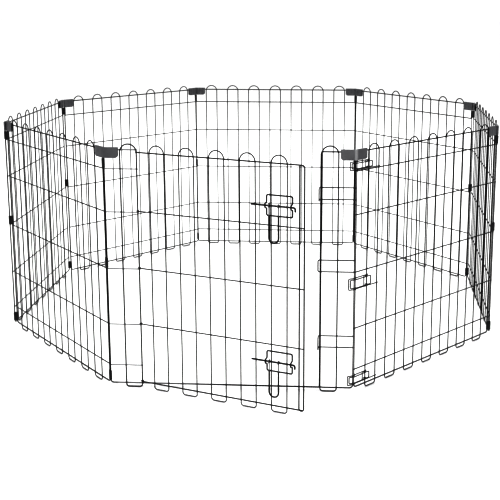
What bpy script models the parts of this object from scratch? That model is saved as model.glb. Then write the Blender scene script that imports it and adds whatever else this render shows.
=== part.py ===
"""Folding wire pen for small animals.

Eight square wire panels stand in a ring and are joined post to post by
crimped sleeves, so the pen folds up like a screen.  Each sleeve is fast on the
post of one panel and the next panel's post turns in it.  The front panel carries a
swing door with two slide bolts.  The two free ends of the chain meet at the
front right corner, where three wire clasps close the ring.

Units are metres, +Z is up and the ground is z = 0.  The front faces -Y.  The origin
lies on the ground under the centre of the bounding box.  Each panel is drawn with its
middle at x = 0, its frame wire at y = 0 and its outer face towards -Y, so left and right
are as seen from outside.
"""
import math
from itertools import accumulate

import bmesh
import bpy
from mathutils import Matrix, Vector

for old in list(bpy.data.objects):
    bpy.data.objects.remove(old, do_unlink=True)

MM = 0.001

# ---------------------------------------------------------------- layout
PANELS = 8
PANEL_SPAN = 605 * MM        # post centre to post centre in one panel
HALF_SPAN = PANEL_SPAN / 2
POST_GAP = 6.8 * MM          # post centre to post centre across a corner
TURN_FRONT = 50.8            # degrees turned at the corners of the front and back panels
# Where the next panel's post stands round each corner, in degrees from the line of the
# panel before it: inside the ring below 180, outside it above 180.
POST_SIDE = {1: 115.0, 2: 245.0, 3: 115.0, 4: 238.5, 5: 115.0, 6: 245.0, 7: 115.0}
END_SIDE = 65.0              # direction of the last panel's post from the front panel's right post
EASING_ROUNDS = 8
LOOPS = 7                    # closed upright loops in each panel
PITCH = PANEL_SPAN / (2 * LOOPS + 1)

# ---------------------------------------------------------------- wires
# Most wires are swept as squares, sized by half their diagonal.
SQUARE = math.sqrt(math.pi / 2)   # half diagonal of a square with the area of a unit circle
FRAME_HALF = 1.7 * MM * SQUARE    # outer frame wire
ROD_HALF = 1.2 * MM * SQUARE      # loops, cross wires and staples
EDGE_HALF = 1.5 * MM * SQUARE     # door rails, bolt guides and threshold
WELD = 0.4 * MM              # how far two welded wires sink into each other
END_GAP = 0.6 * MM           # clearance where an upright wire stops short of a level one

# ---------------------------------------------------------------- heights
Z_BOTTOM = 10 * MM
LEVEL_GAPS = (46.5 * MM, 106 * MM, 142 * MM, 142 * MM, 106 * MM, 46.5 * MM)
LEVELS = list(accumulate(LEVEL_GAPS, initial=Z_BOTTOM))
Z_TOP = LEVELS[-1]


# ---------------------------------------------------------------- drawing tools
def sweep(body, path, half, closed=False, up=(0, 1, 0), sides=4):
    """A bar of regular section along a path of straight runs, mitred at each bend.

    `half` is the distance from the centre of the section to its corners, and one
    corner starts out towards `up`.
    """
    points = [Vector(p) for p in path]
    count = len(points)
    runs = count if closed else count - 1
    ways = [(points[(i + 1) % count] - points[i]).normalized() for i in range(runs)]
    side = Vector(up)
    side = (side - ways[0] * side.dot(ways[0])).normalized()
    run_sides = [side]
    for i in range(1, runs):
        side = ways[i - 1].rotation_difference(ways[i]) @ side
        side = (side - ways[i] * side.dot(ways[i])).normalized()
        run_sides.append(side)
    rings = []
    for i, point in enumerate(points):
        run = min(i, runs - 1)
        before = ways[i - 1] if closed or i > 0 else ways[0]
        after = ways[run]
        held = run_sides[run]
        mitre = (before + after).normalized()
        across = after.cross(held)
        ring = []
        for k in range(sides):
            turn = 2 * math.pi * k / sides
            reach = (held * math.cos(turn) + across * math.sin(turn)) * half
            reach -= after * (reach.dot(mitre) / after.dot(mitre))
            ring.append(body.verts.new(point + reach))
        rings.append(ring)
    for i in range(runs):
        here, there = rings[i], rings[(i + 1) % count]
        for k in range(sides):
            after_k = (k + 1) % sides
            body.faces.new((here[k], here[after_k], there[after_k], there[k]))
    if not closed:
        body.faces.new(rings[0][::-1])
        body.faces.new(rings[-1])


def prism(body, outline, low, high):
    """Extrudes a plan outline, counter-clockwise from above, between two heights."""
    face = body.faces.new([body.verts.new((x, y, low)) for x, y in outline])
    raised = bmesh.ops.extrude_face_region(body, geom=[face])
    moved = [v for v in raised["geom"] if isinstance(v, bmesh.types.BMVert)]
    bmesh.ops.translate(body, verts=moved, vec=(0, 0, high - low))


def arc(centre_1, centre_2, radius, start, end, steps):
    """Points of an arc in a plane, angles in degrees from the first axis to the second."""
    angles = [math.radians(start + (end - start) * i / steps) for i in range(steps + 1)]
    return [(centre_1 + radius * math.cos(a), centre_2 + radius * math.sin(a)) for a in angles]


def octagon(radius):
    """The corners of an eye, as offsets from its centre."""
    angles = [math.pi / 4 * i for i in range(8)]
    return [(radius * math.cos(a), radius * math.sin(a)) for a in angles]


def upright(points, y):
    """Points (x, z) set up in the vertical plane at y."""
    return [(x, y, z) for x, z in points]


def solid(draw, *sizes):
    """A closed mesh object drawn by a function, used as an operand and then removed."""
    mesh = bpy.data.meshes.new(draw.__name__)
    body = bmesh.new()
    draw(body, *sizes)
    bmesh.ops.recalc_face_normals(body, faces=body.faces)
    body.to_mesh(mesh)
    body.free()
    made = bpy.data.objects.new(draw.__name__, mesh)
    bpy.context.scene.collection.objects.link(made)
    return made


def combined(name, first, *others, operation="UNION"):
    """One mesh out of Boolean steps between closed operands."""
    for other in others:
        other.hide_render = True
        step = first.modifiers.new("step", "BOOLEAN")
        step.operation = operation
        step.solver = "EXACT"
        step.object = other
    bpy.context.view_layer.update()
    graph = bpy.context.evaluated_depsgraph_get()
    mesh = bpy.data.meshes.new_from_object(first.evaluated_get(graph))
    mesh.name = name
    for spent in (first, *others):
        bpy.data.objects.remove(spent, do_unlink=True)
    return mesh


def smoothed(mesh):
    """Smooth shading that keeps edges over 40 degrees sharp."""
    mesh.shade_smooth()
    mesh.set_sharp_from_angle(angle=math.radians(40))
    return mesh


# ---------------------------------------------------------------- panel frame and loops
LOWER_CORNER_R = 5 * MM
UPPER_CORNER_R = 3 * MM
CROSS_Y = 0.2 * MM
CROSS_END = HALF_SPAN - 0.3 * MM
LOOP_Y = -(2 * ROD_HALF - WELD)   # loops lie on the outer face of the cross wires
ARC_START = Z_TOP - 6 * MM   # where the round top of a loop springs
ARC_STEPS = 5
LOOP_CUT = 6 * MM            # cut corners at the foot of a loop


def left_side():
    """Frame wire (x, z) up the left side, with both its corners."""
    lower, upper = LOWER_CORNER_R, UPPER_CORNER_R
    return (arc(-HALF_SPAN + lower, Z_BOTTOM + lower, lower, 270, 180, 2)
            + arc(-HALF_SPAN + upper, Z_TOP - upper, upper, 180, 90, 1))


def right_side():
    """Frame wire (x, z) down the right side, with both its corners."""
    lower, upper = LOWER_CORNER_R, UPPER_CORNER_R
    return (arc(HALF_SPAN - upper, Z_TOP - upper, upper, 90, 0, 1)
            + arc(HALF_SPAN - lower, Z_BOTTOM + lower, lower, 0, -90, 2))


def plain_frame(body):
    sweep(body, upright(left_side() + right_side(), 0), FRAME_HALF, closed=True)


def cross_wires(body):
    for z in LEVELS[1:-1]:
        sweep(body, [(-CROSS_END, CROSS_Y, z), (CROSS_END, CROSS_Y, z)], ROD_HALF)


def upright_loop(body, left, y, foot):
    """A closed upright loop: round top, flat foot with cut corners."""
    right = left + PITCH
    radius = PITCH / 2
    path = arc(left + radius, ARC_START, radius, 180, 0, ARC_STEPS)
    path += [(right, foot + LOOP_CUT), (right - LOOP_CUT, foot),
             (left + LOOP_CUT, foot), (left, foot + LOOP_CUT)]
    sweep(body, upright(path, y), ROD_HALF, closed=True)


def panel_loops(body, numbers):
    for k in numbers:
        upright_loop(body, -HALF_SPAN + PITCH * (2 * k + 1), LOOP_Y, ROD_HALF)


def plain_mesh():
    return combined("plain_panel", solid(plain_frame), solid(cross_wires),
                    solid(panel_loops, range(LOOPS)))


# ---------------------------------------------------------------- end clasps
FREE_POST = -HALF_SPAN       # the last panel's free post
# name, middle height, half the height of the base
CLASPS = (("top", 566.5 * MM, 10 * MM), ("mid", 277.5 * MM, 14 * MM), ("low", 32 * MM, 11.5 * MM))
CLASP_IN = 3.5 * MM          # how much lower than its base a clasp is, at each bar
CLASP_BEND_Y = -6.9 * MM     # where the wires pass in front of the neighbouring post

BASE_Y = -3.3 * MM
BASE_TIP_X = FREE_POST - 24.5 * MM
BASE_TIP_Y = 0.6 * MM
BASE_BEND_X = FREE_POST - 6 * MM
BASE_STRAIGHT_X = FREE_POST - 1 * MM
BASE_OVERRUN = 2 * MM        # how far the bars run past the loop wires they end on
STRUT_X = FREE_POST + 30 * MM
STRUT_Y = -2.6 * MM
STRUT_HALF = ROD_HALF * 0.9

CLASP_LEFT = FREE_POST - 20 * MM
CLASP_LEFT_Y = -1.3 * MM
CLASP_TURN_Y = -2.1 * MM     # where the bars turn into the left end
CLASP_BEND_X = FREE_POST - 5.5 * MM
CLASP_RIGHT = FREE_POST + PITCH + 12 * MM
CLASP_RIGHT_Y = LOOP_Y - 3.2 * MM
CLASP_CUT = 2 * MM
CLASP_WIRE_HALF = 1.3 * MM
CLASP_EYE_R = 3.2 * MM
CLASP_EYE_HALF = 1.2 * MM


def clasp_bases(body):
    """Wire staples on the last panel's free end that pass in front of the neighbouring post."""
    def bar(level, step, end):
        return [(end + BASE_OVERRUN, BASE_Y, level),
                (BASE_STRAIGHT_X, BASE_Y, level),
                (BASE_BEND_X, CLASP_BEND_Y, level),
                (BASE_TIP_X + 1.5 * MM, BASE_TIP_Y - 0.6 * MM, level),
                (BASE_TIP_X, BASE_TIP_Y, level - step)]

    for _, z, half in CLASPS:
        upper = bar(z + half, 2.5 * MM, FREE_POST + PITCH)
        lower = bar(z - half, -2.5 * MM, FREE_POST + 2 * PITCH)
        sweep(body, upper + lower[::-1], ROD_HALF, up=(0, 0, 1))


def clasp_struts(body):
    for _, z, half in CLASPS:
        sweep(body, [(STRUT_X, STRUT_Y, z - half), (STRUT_X, STRUT_Y, z + half)], STRUT_HALF)


def last_mesh():
    return combined("last_panel", solid(plain_frame), solid(cross_wires),
                    solid(panel_loops, range(LOOPS)), solid(clasp_bases), solid(clasp_struts))


def clasp_loop(body, z, high):
    """The swinging wire loop; its pivot is the first upright wire of the last panel."""
    def bar(level, cut):
        return [(CLASP_LEFT, CLASP_LEFT_Y, level - cut),
                (CLASP_LEFT + CLASP_CUT, CLASP_TURN_Y, level),
                (CLASP_BEND_X, CLASP_BEND_Y, level),
                (CLASP_RIGHT - CLASP_CUT, CLASP_RIGHT_Y, level),
                (CLASP_RIGHT, CLASP_RIGHT_Y, level - cut)]

    upper, lower = bar(z + high, CLASP_CUT), bar(z - high, -CLASP_CUT)
    sweep(body, lower[:1] + upper + lower[:0:-1], CLASP_WIRE_HALF, closed=True)


def clasp_eyes(body, z, high):
    x = -HALF_SPAN + PITCH
    for level in (z - high, z + high):
        ring = [(x + dx, LOOP_Y + dy, level) for dx, dy in octagon(CLASP_EYE_R)]
        sweep(body, ring, CLASP_EYE_HALF, closed=True, up=(0, 0, 1))


def clasp_mesh(name, z, half):
    high = half - CLASP_IN
    return combined("clasp_mesh_" + name, solid(clasp_loop, z, high), solid(clasp_eyes, z, high))


# ---------------------------------------------------------------- gate panel
HINGE_X = -HALF_SPAN + 2 * PITCH  # right wire of the leftmost loop
HINGE_OVERRUN_X = HINGE_X + 0.6 * MM
JAMB_X = HALF_SPAN - 2 * PITCH - 1.5 * MM
THRESHOLD_Y = 1.9 * MM
THRESHOLD_Z = Z_BOTTOM + 0.6 * MM
THRESHOLD_OVERRUN = 3 * MM
LATCHES = (("top", 498 * MM), ("low", 128 * MM))   # name, height of the bolt
CATCH_START = HALF_SPAN - 0.8 * MM
CATCH_Y = 3.3 * MM
CATCH_BEND = 3 * MM
KEEPER_X = HINGE_X + 438.5 * MM
KEEPER_HALF = 14.5 * MM      # half the height of a keeper
KEEPER_OUT_Y = -21.2 * MM
KEEPER_CUT = 2 * MM
STOP_X = KEEPER_X - 2 * MM
STOP_LOW = 305 * MM
STOP_HIGH = 334 * MM


def gate_wire(body):
    """Frame wire from the hinge top round the panel, turned down on the doorway's right."""
    path = [(HINGE_OVERRUN_X, Z_TOP)] + left_side()[::-1] + right_side()[::-1]
    path += arc(JAMB_X + LOWER_CORNER_R, Z_TOP - LOWER_CORNER_R, LOWER_CORNER_R, 90, 180, 3)
    path += [(JAMB_X, Z_BOTTOM + FRAME_HALF + END_GAP)]
    sweep(body, upright(path, 0), FRAME_HALF)


def gate_stubs(body):
    """Short cross wires left of the doorway."""
    for z in LEVELS[1:-1]:
        sweep(body, [(-CROSS_END, CROSS_Y, z), (HINGE_OVERRUN_X, CROSS_Y, z)], ROD_HALF)


def gate_threshold(body):
    left = -HALF_SPAN + PITCH - THRESHOLD_OVERRUN
    right = HALF_SPAN - 2 * PITCH + THRESHOLD_OVERRUN
    path = [(left, THRESHOLD_Y, THRESHOLD_Z), (right, THRESHOLD_Y, THRESHOLD_Z)]
    sweep(body, path, EDGE_HALF)


def gate_catches(body):
    """Three staples across the right side: a stop in the middle and two keepers bent outwards."""
    def keeper_bar(level, cut):
        return [(CATCH_START, CATCH_Y, level),
                (KEEPER_X + CATCH_BEND, CATCH_Y, level),
                (KEEPER_X, CATCH_Y - CATCH_BEND, level),
                (KEEPER_X, KEEPER_OUT_Y + KEEPER_CUT, level),
                (KEEPER_X, KEEPER_OUT_Y, level - cut)]

    def stop_bar(level, cut):
        return [(CATCH_START, CATCH_Y, level),
                (STOP_X + CATCH_BEND, CATCH_Y, level),
                (STOP_X, CATCH_Y, level - cut)]

    for _, z in LATCHES:
        upper = keeper_bar(z + KEEPER_HALF, KEEPER_CUT)
        lower = keeper_bar(z - KEEPER_HALF, -KEEPER_CUT)
        sweep(body, upper + lower[::-1], ROD_HALF, up=(0, 0, 1))
    path = stop_bar(STOP_HIGH, CATCH_BEND) + stop_bar(STOP_LOW, -CATCH_BEND)[::-1]
    sweep(body, path, ROD_HALF)


def gate_mesh():
    return combined("gate_panel", solid(gate_wire), solid(gate_stubs),
                    solid(panel_loops, (0, LOOPS - 1)), solid(gate_threshold),
                    solid(gate_catches))


# ---------------------------------------------------------------- door
# Drawn shut, with the hinge axis at x = y = 0.
DOOR_OPEN = 22.0             # degrees the door stands open
DOOR_Y = -4.0 * MM           # cross wires of the door
DOOR_LOOP_Y = DOOR_Y - (2 * ROD_HALF - WELD)
DOOR_LOOP_FOOT = ROD_HALF + 1.6 * MM
DOOR_LOOPS = LOOPS - 2
DOOR_TOP = Z_TOP - 5 * MM
DOOR_BOTTOM = Z_BOTTOM + 6.5 * MM
DOOR_LIFT = 4 * MM           # door cross wires sit this much above the panel's
DOOR_INNER = 433 * MM        # the two upright wires of the free edge
DOOR_OUTER = 445 * MM
DOOR_CORNER_R = 6 * MM
DOOR_RAIL_END = DOOR_OUTER - 2.5 * MM
DOOR_WIRE_END = DOOR_OUTER - 0.3 * MM
HINGE_EYE_R = 2.75 * MM      # inner radius of the eyes
HINGE_EYE_END = -1.2 * MM    # where an eye runs out into the straight wire

GUIDE_LEFT = 353 * MM
GUIDE_RIGHT = 418 * MM
GUIDE_CUT = 2 * MM
GUIDE_HALF = 24 * MM         # half the height of a guide
BOW_FOOT = 7.5 * MM          # half the height of a bow where it leaves the door
BOW_HALF = 4.5 * MM          # half the height of a bow at its outermost run
BOLT_HALF = 2.1 * MM
BOLT_Y = -14.0 * MM
BOLT_PLAY = 0.4 * MM


def hinge_eye(z, half, straight_to):
    """A wire that wraps the hinge wire and runs on along the door."""
    reach = half + HINGE_EYE_R
    angles = [math.radians(a) for a in range(-230, -49, 45)]
    path = [(reach * math.sin(a), -reach * math.cos(a), z) for a in angles]
    path += [(HINGE_EYE_END, DOOR_Y, z)] + straight_to
    sweep_options = {"up": (0, 0, 1)}
    return path, half, sweep_options


def hinged_wire(body, z, half, straight_to):
    path, half, options = hinge_eye(z, half, straight_to)
    sweep(body, path, half, **options)


def door_edge(body):
    """Top rail, running on down the outer upright wire and up the inner one."""
    corner = DOOR_CORNER_R
    turn = (DOOR_OUTER - DOOR_INNER) / 2
    run = arc(DOOR_OUTER - corner, DOOR_TOP - corner, corner, 90, 0, 2)
    run += arc(DOOR_OUTER - turn, DOOR_BOTTOM + turn - 1.6 * MM, turn, 0, -180, 3)
    run += [(DOOR_INNER, DOOR_TOP - EDGE_HALF - END_GAP)]
    hinged_wire(body, DOOR_TOP, EDGE_HALF, upright(run, DOOR_Y))


def door_rail(body):
    hinged_wire(body, DOOR_BOTTOM, EDGE_HALF, [(DOOR_RAIL_END, DOOR_Y, DOOR_BOTTOM)])


def door_wires(body):
    for level in LEVELS[2:5]:
        z = level + DOOR_LIFT
        hinged_wire(body, z, ROD_HALF, [(DOOR_WIRE_END, DOOR_Y - 0.15 * MM, z)])


def door_loops(body):
    for k in range(1, DOOR_LOOPS + 1):
        upright_loop(body, PITCH * (2 * k - 1), DOOR_LOOP_Y, DOOR_LOOP_FOOT)


def door_guides(body):
    """A wire rectangle for each bolt, its ends bowed out to let the bolt pass behind them."""
    lie = DOOR_LOOP_Y - (ROD_HALF + EDGE_HALF - WELD)
    bow = BOLT_Y - BOLT_HALF - BOLT_PLAY - EDGE_HALF
    side = 22 * MM           # half the height of an upright end, between the cut corners
    # y and height above the bolt of the bends in an end, from its top down
    bends = ((lie, side), (lie, BOW_FOOT), (bow, BOW_HALF),
             (bow, -BOW_HALF), (lie, -BOW_FOOT), (lie, -side))
    left, right = GUIDE_LEFT + GUIDE_CUT, GUIDE_RIGHT - GUIDE_CUT
    for _, z in LATCHES:
        path = [(left, lie, z + GUIDE_HALF), (right, lie, z + GUIDE_HALF)]
        path += [(GUIDE_RIGHT, y, z + rise) for y, rise in bends]
        path += [(right, lie, z - GUIDE_HALF), (left, lie, z - GUIDE_HALF)]
        path += [(GUIDE_LEFT, y, z - rise) for y, rise in bends]
        sweep(body, path, EDGE_HALF, closed=True)


def door_mesh():
    return combined("door_mesh", solid(door_edge), solid(door_rail), solid(door_wires),
                    solid(door_loops), solid(door_guides))


# ---------------------------------------------------------------- bolts and handles
BOLT_LEFT = GUIDE_LEFT - 37 * MM
# the turned-down tip: distance right of the guide, drop below the bolt's line
BOLT_TIP = ((4.5 * MM, 0), (7.6 * MM, 1.6 * MM), (8.6 * MM, 6 * MM))
HANDLE_LEFT = GUIDE_LEFT + 8 * MM
HANDLE_RIGHT = HANDLE_LEFT + 24 * MM
HANDLE_DROP = 86 * MM
HANDLE_HALF = 1.9 * MM
HANDLE_EYE_R = 4.0 * MM
HANDLE_EYE_HALF = 1.5 * MM


def bolt_rod(body, z):
    path = [(BOLT_LEFT, BOLT_Y, z)]
    path += [(GUIDE_RIGHT + along, BOLT_Y, z - drop) for along, drop in BOLT_TIP]
    sweep(body, path, BOLT_HALF, sides=6)


def handle_legs(body, z):
    """Two legs hanging from the bolt, joined by a half circle."""
    radius = (HANDLE_RIGHT - HANDLE_LEFT) / 2
    middle, low = HANDLE_LEFT + radius, z - HANDLE_DROP
    angles = [math.radians(a) for a in range(0, 181, 30)]
    path = [(HANDLE_LEFT, BOLT_Y, z - HANDLE_EYE_R)]
    path += [(middle - radius * math.cos(a), BOLT_Y, low + radius - radius * math.sin(a))
             for a in angles]
    path += [(HANDLE_RIGHT, BOLT_Y, z - HANDLE_EYE_R)]
    sweep(body, path, HANDLE_HALF, sides=6)


def handle_eyes(body, z):
    for x in (HANDLE_LEFT, HANDLE_RIGHT):
        ring = [(x, BOLT_Y + dy, z + dz) for dy, dz in octagon(HANDLE_EYE_R)]
        sweep(body, ring, HANDLE_EYE_HALF, closed=True, up=(1, 0, 0))


# ---------------------------------------------------------------- corner leaf and sleeve
LEAF_HALF = 3.1 * MM
LEAF_SLOT = 2.45 * MM        # half the width of the slot
LEAF_LENGTH = 36 * MM
LEAF_LOW = 579 * MM
LEAF_TOP = 605 * MM
SLOT_TOP = 601.6 * MM
SLOT_OVERCUT = 5 * MM
LEAF_BEVEL = 6 * MM
SLEEVE_HOLE = 2.45 * MM      # radius of the bore
SLEEVE_WALL = 0.6 * MM
SLEEVE_OVERCUT = 2 * MM
# name, lower end, upper end
SLEEVES = (("top", 555.0 * MM, 577.5 * MM), ("mid", 307 * MM, 331 * MM),
           ("low", 16.5 * MM, 40 * MM))


def leaf_outline(half, length, steps):
    """Plan outline with a half circle round the post and a square far end."""
    return arc(0, 0, half, 90, 270, steps) + [(length, -half), (length, half)]


def leaf_body(body):
    """Half of a corner piece, its lower far edge rounded."""
    prism(body, leaf_outline(LEAF_HALF, LEAF_LENGTH, 8), LEAF_LOW, LEAF_TOP)
    foot = [e for e in body.edges
            if all(abs(v.co.x - LEAF_LENGTH) < 1e-6 and abs(v.co.z - LEAF_LOW) < 1e-6
                   for v in e.verts)]
    bmesh.ops.bevel(body, geom=foot, offset=LEAF_BEVEL, segments=3, profile=0.5, affect="EDGES")


def leaf_slot(body):
    """The slot, open below and at the far end."""
    outline = leaf_outline(LEAF_SLOT, LEAF_LENGTH + SLOT_OVERCUT, 6)
    prism(body, outline, LEAF_LOW - SLOT_OVERCUT, SLOT_TOP)


def leaf_mesh():
    mesh = combined("leaf_mesh", solid(leaf_body), solid(leaf_slot), operation="DIFFERENCE")
    return smoothed(mesh)


def sleeve_prism(body, radius, low, high):
    """A prism around both posts of a corner."""
    outline = arc(0, 0, radius, 90, 270, 4) + arc(POST_GAP, 0, radius, -90, 90, 4)
    prism(body, outline, low, high)


def sleeve_mesh(name, low, high):
    outer = solid(sleeve_prism, SLEEVE_HOLE + SLEEVE_WALL, low, high)
    inner = solid(sleeve_prism, SLEEVE_HOLE, low - SLEEVE_OVERCUT, high + SLEEVE_OVERCUT)
    return smoothed(combined("sleeve_" + name, outer, inner, operation="DIFFERENCE"))


# ---------------------------------------------------------------- plan of the ring
def direction(degrees):
    return Vector((math.cos(math.radians(degrees)), math.sin(math.radians(degrees)), 0))


def plan():
    """Headings, and the left and right post of each panel seen from outside.

    The chain runs from the front panel's left post round the back to its right post.
    The turns of panels 2 and 4 are eased by a fraction of a degree so that the last post
    stands beside the front panel's right post.
    """
    headings = {0: 0.0, 7: TURN_FRONT, 6: 90.0, 5: 180.0 - TURN_FRONT,
                4: 180.0, 3: 180.0 + TURN_FRONT, 2: 270.0, 1: 360.0 - TURN_FRONT}
    for _ in range(EASING_ROUNDS):
        posts = {0: (Vector((-HALF_SPAN, 0, 0)), Vector((HALF_SPAN, 0, 0)))}
        for i in range(1, PANELS):
            right = posts[i - 1][0] + direction(headings[i - 1] + POST_SIDE[i]) * POST_GAP
            posts[i] = (right - direction(headings[i]) * PANEL_SPAN, right)
        miss = posts[0][1] + direction(END_SIDE) * POST_GAP - posts[PANELS - 1][0]
        headings[2] -= math.degrees(miss.x / PANEL_SPAN)
        headings[4] += math.degrees(miss.y / PANEL_SPAN)
    return headings, posts


HEADINGS, POSTS = plan()


def outer_ends(index):
    """The outermost points of a panel's end loops in plan."""
    left, right = POSTS[index]
    along, out = direction(HEADINGS[index]), direction(HEADINGS[index] - 90)
    return [end + way * PITCH * along + out * (ROD_HALF - LOOP_Y)
            for end, way in ((left, 1), (right, -1))]


def centring():
    """Moves the front panel's frame so that the bounding box is centred on the origin.

    The open door reaches furthest forwards; the end loops of panels 2, 4 and 6 reach
    furthest to the other sides.
    """
    opened = math.radians(DOOR_OPEN)
    door_reach = (DOOR_OUTER + EDGE_HALF) * math.sin(opened)
    door_reach += (-DOOR_Y + EDGE_HALF) * math.cos(opened) - LOOP_Y
    west = min(p.x for p in outer_ends(2))
    east = max(p.x for p in outer_ends(6))
    north = max(p.y for p in outer_ends(4))
    return Matrix.Translation((-(west + east) / 2, -(north - door_reach) / 2, 0))


SHIFT = centring()


def at(point, heading=0.0):
    return SHIFT @ Matrix.Translation(point) @ Matrix.Rotation(math.radians(heading), 4, "Z")


def panel_matrix(index):
    left, right = POSTS[index]
    return at((left + right) / 2, HEADINGS[index])


# ---------------------------------------------------------------- materials
def material(name, colour, roughness, metallic):
    made = bpy.data.materials.new(name)
    made.use_nodes = True
    shader = made.node_tree.nodes["Principled BSDF"]
    shader.inputs["Base Color"].default_value = (*colour, 1.0)
    shader.inputs["Roughness"].default_value = roughness
    shader.inputs["Metallic"].default_value = metallic
    return made


WIRE = material("black_coated_wire", colour=(0.018, 0.018, 0.020), roughness=0.38, metallic=0.55)
PLASTIC = material("dark_grey_plastic", colour=(0.045, 0.046, 0.050), roughness=0.55, metallic=0.0)
STEEL = material("black_coated_sheet", colour=(0.025, 0.025, 0.028), roughness=0.34, metallic=0.5)

# ---------------------------------------------------------------- placing
WORLD = {}                   # world matrix of each object by name


def hang(obj, matrix, parent):
    """Links an object at a world matrix, under a parent if there is one."""
    bpy.context.scene.collection.objects.link(obj)
    WORLD[obj.name] = matrix
    if parent is None:
        obj.matrix_basis = matrix
    else:
        obj.parent = parent
        obj.matrix_basis = WORLD[parent.name].inverted() @ matrix


def axis(name, matrix, parent=None):
    empty = bpy.data.objects.new(name, None)
    empty.empty_display_size = 0.03
    hang(empty, matrix, parent)
    return empty


def place(name, mesh, matrix, parent, look):
    """An object with its own copy of a material, also where it shares its mesh."""
    obj = bpy.data.objects.new(name, mesh)
    hang(obj, matrix, parent)
    own = look.copy()
    own.name = name
    mesh_is_shared = mesh.users > 1
    if not mesh.materials:
        mesh.materials.append(own)
    if mesh_is_shared:
        obj.material_slots[0].link = "OBJECT"
    obj.material_slots[0].material = own


def place_leaves(index, mesh, parent):
    """Leaf a of the corner at a panel's left post and leaf b of the one at its right post."""
    left, right = POSTS[index]
    heading = HEADINGS[index]
    place("corner_%d_leaf_a" % (index + 1), mesh, at(left, heading), parent, PLASTIC)
    place("corner_%d_leaf_b" % (index or PANELS), mesh, at(right, heading + 180), parent, PLASTIC)


def place_chain(root, leaf):
    """Panels 1 to 7, each turning on the one before; returns the last panel's axis.

    The sleeves of a corner stay with the panel before it, and the next panel's post
    turns in them.
    """
    plain, last = plain_mesh(), last_mesh()
    sleeves = {name: sleeve_mesh(name, low, high) for name, low, high in SLEEVES}
    holder = root
    for i in range(1, PANELS):
        fixed, turning = POSTS[i - 1][0], POSTS[i][1]
        across = math.degrees(math.atan2(turning.y - fixed.y, turning.x - fixed.x))
        for name, mesh in sleeves.items():
            place("hinge_sleeve_%d_%s" % (i, name), mesh, at(fixed, across), holder, STEEL)
        holder = axis("axis_panel_%d" % i, at(turning), holder)
        mesh = last if i == PANELS - 1 else plain
        place("panel_%d" % i, mesh, panel_matrix(i), holder, WIRE)
        place_leaves(i, leaf, holder)
    return holder


def place_clasps(holder):
    panel = panel_matrix(PANELS - 1)
    pivot = panel @ Matrix.Translation((-HALF_SPAN + PITCH, LOOP_Y, 0))
    for name, z, half in CLASPS:
        swing = axis("axis_clasp_" + name, pivot @ Matrix.Translation((0, 0, z)), holder)
        place("end_clasp_" + name, clasp_mesh(name, z, half), panel, swing, STEEL)


def place_door(root):
    """The open door with its bolts and their handles."""
    hinge = panel_matrix(0) @ Matrix.Translation((HINGE_X, LOOP_Y, 0))
    hinge = hinge @ Matrix.Rotation(math.radians(-DOOR_OPEN), 4, "Z")
    door_axis = axis("axis_door", hinge, root)
    place("door", door_mesh(), hinge, door_axis, WIRE)
    for name, z in LATCHES:
        line = axis("axis_bolt_" + name, hinge @ Matrix.Translation((0, BOLT_Y, z)), door_axis)
        bolt = combined("bolt_" + name, solid(bolt_rod, z))
        place("latch_bolt_" + name, bolt, hinge, line, STEEL)
        grip = combined("handle_mesh_" + name, solid(handle_legs, z), solid(handle_eyes, z))
        place("latch_handle_" + name, grip, hinge, line, STEEL)


def build():
    root = axis("pen", SHIFT)
    leaf = leaf_mesh()
    place("gate_frame", gate_mesh(), panel_matrix(0), root, WIRE)
    place_leaves(0, leaf, root)
    place_clasps(place_chain(root, leaf))
    place_door(root)


build()
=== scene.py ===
"""An eight-sided wire pen with a door in its front panel, open 22 degrees.

It stands on Z = 0 with its front towards -Y, centred on X, and on Y with the open door
counted in. Lengths are in metres. Left and right are as seen from outside a panel.
Panel frame: origin midway between the posts, X along the panel, -Y outwards.
Door frame: origin on the hinge wire, X along the door, -Y outwards.
"""
import math
from itertools import accumulate

import bmesh
import bpy
import numpy as np
from mathutils import Matrix, Vector


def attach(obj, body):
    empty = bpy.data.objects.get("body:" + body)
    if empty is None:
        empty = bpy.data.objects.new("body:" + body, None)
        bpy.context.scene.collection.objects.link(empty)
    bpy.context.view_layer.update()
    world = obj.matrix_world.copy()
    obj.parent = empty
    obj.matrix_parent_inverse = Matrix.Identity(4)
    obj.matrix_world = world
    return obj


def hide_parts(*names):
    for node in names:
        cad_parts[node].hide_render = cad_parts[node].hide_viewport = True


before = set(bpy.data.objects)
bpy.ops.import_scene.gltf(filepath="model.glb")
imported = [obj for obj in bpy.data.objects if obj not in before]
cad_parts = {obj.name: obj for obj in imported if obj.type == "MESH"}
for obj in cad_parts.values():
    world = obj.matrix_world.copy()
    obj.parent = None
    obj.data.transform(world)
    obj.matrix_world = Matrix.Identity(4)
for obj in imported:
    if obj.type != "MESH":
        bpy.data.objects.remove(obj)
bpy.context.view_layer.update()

MM = 0.001


def mm(*values):
    return tuple(value * MM for value in values)


# ------------------------------------------------------------------ driving dimensions
SPAN = 605 * MM                 # between the two posts of a panel
GAP = 6.8 * MM                  # between the neighbouring posts of two panels
TURN = 50.8                     # degrees
LOOPS = 7                       # upright wire loops in a panel
PITCH = SPAN / (2 * LOOPS + 1)
END = SPAN / 2

# radii of the coated wires
FRAME_R, ROD_R, EDGE_R, BOLT_R = mm(1.7, 1.38, 1.65, 2.15)
# half diagonals of squares with the same area as the bare round wires
DIAGONAL = math.sqrt(math.pi / 2)
ROD_H, EDGE_H = 1.2 * MM * DIAGONAL, 1.5 * MM * DIAGONAL
WELD = 0.4 * MM                 # how far crossing wires are pressed into each other
LOOP_Y = -(2 * ROD_H - WELD)    # the loops lie outside the cross wires

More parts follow.
